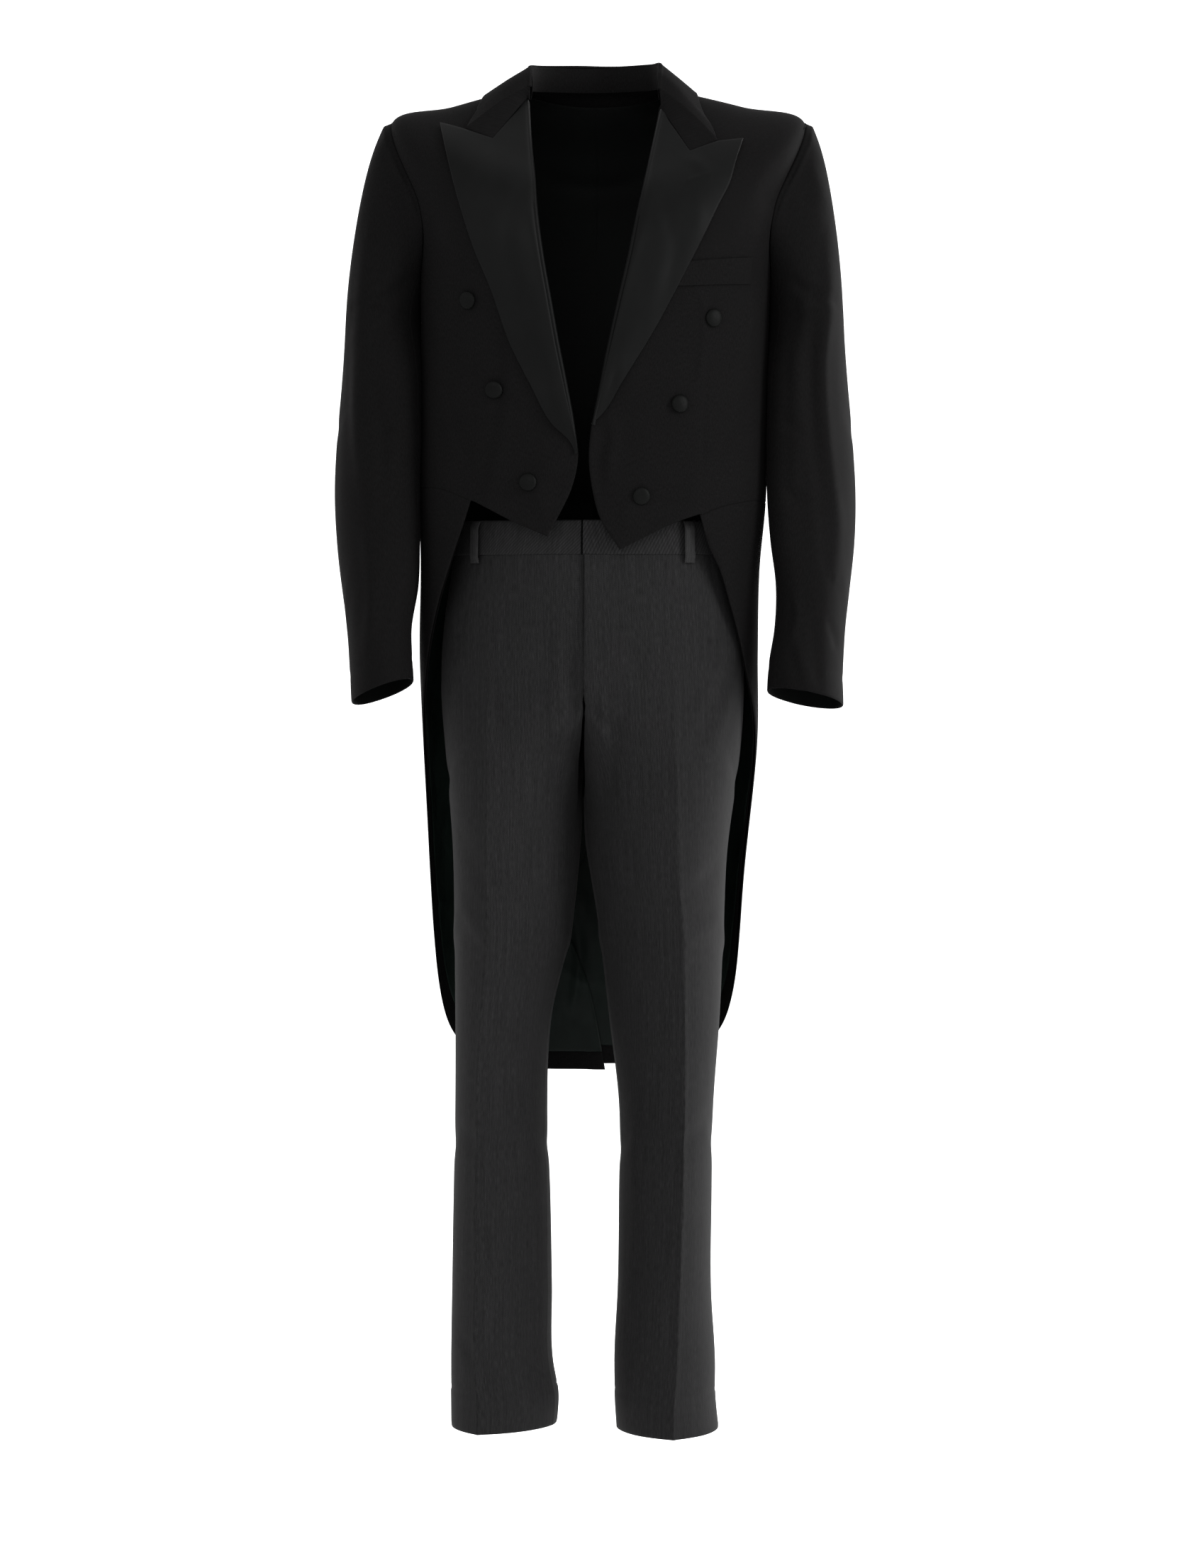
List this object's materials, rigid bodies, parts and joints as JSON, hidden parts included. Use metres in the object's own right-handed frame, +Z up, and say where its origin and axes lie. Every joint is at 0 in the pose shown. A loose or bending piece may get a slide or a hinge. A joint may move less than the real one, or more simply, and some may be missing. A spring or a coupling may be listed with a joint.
{
  "type": "evening tailcoat suit",
  "caption": "Black evening tailcoat with satin peak lapels, cut-away front and long lined tails, worn over charcoal herringbone trousers, hollow and open at neck, cuffs and hems.",
  "frame": {"origin": "middle of the shoulder line, between the two shoulder seams at the neck, where the wearer's shoulders hold the coat", "axes": "+Z up, -Y to the front of the wearer, +X to the viewer's right, which is the wearer's left"},
  "size_m": [0.5736, 0.2957, 1.5021],
  "materials": {
    "wool": "black worsted wool, matt with a faint sheen",
    "satin": "black satin, smooth and softly shining",
    "lining": "dark green-black satin lining",
    "herringbone": "charcoal wool in a fine herringbone, matt"
  },
  "bodies": {
    "root": {"coat_front_left": "wool", "coat_side_body_left": "wool", "coat_back_left": "wool", "coat_skirt_left": "wool", "top_sleeve_left": "wool", "under_sleeve_left": "wool", "back_hem_facing_left": "wool", "skirt_hem_facing_left": "wool", "skirt_edge_facing_left": "wool", "back_lining_left": "lining", "skirt_lining_left": "lining", "lapel_left": "satin", "front_button_left_1": "satin", "cuff_button_left_1": "satin", "front_button_left_2": "satin", "cuff_button_left_2": "satin", "front_button_left_3": "satin", "cuff_button_left_3": "satin", "back_button_left": "satin", "trouser_front_left": "herringbone", "trouser_back_left": "herringbone", "coat_front_right": "wool", "coat_side_body_right": "wool", "coat_back_right": "wool", "coat_skirt_right": "wool", "top_sleeve_right": "wool", "under_sleeve_right": "wool", "back_hem_facing_right": "wool", "skirt_hem_facing_right": "wool", "skirt_edge_facing_right": "wool", "back_lining_right": "lining", "skirt_lining_right": "lining", "lapel_right": "satin", "front_button_right_1": "satin", "cuff_button_right_1": "satin", "front_button_right_2": "satin", "cuff_button_right_2": "satin", "front_button_right_3": "satin", "cuff_button_right_3": "satin", "back_button_right": "satin", "trouser_front_right": "herringbone", "trouser_back_right": "herringbone", "breast_pocket_welt": "wool", "collar": "wool", "collar_stand": "wool", "waistband": "herringbone", "belt_loop_1": "herringbone", "belt_loop_2": "herringbone", "belt_loop_3": "herringbone", "belt_loop_4": "herringbone", "belt_loop_5": "herringbone"}
  },
  "joints": []
}
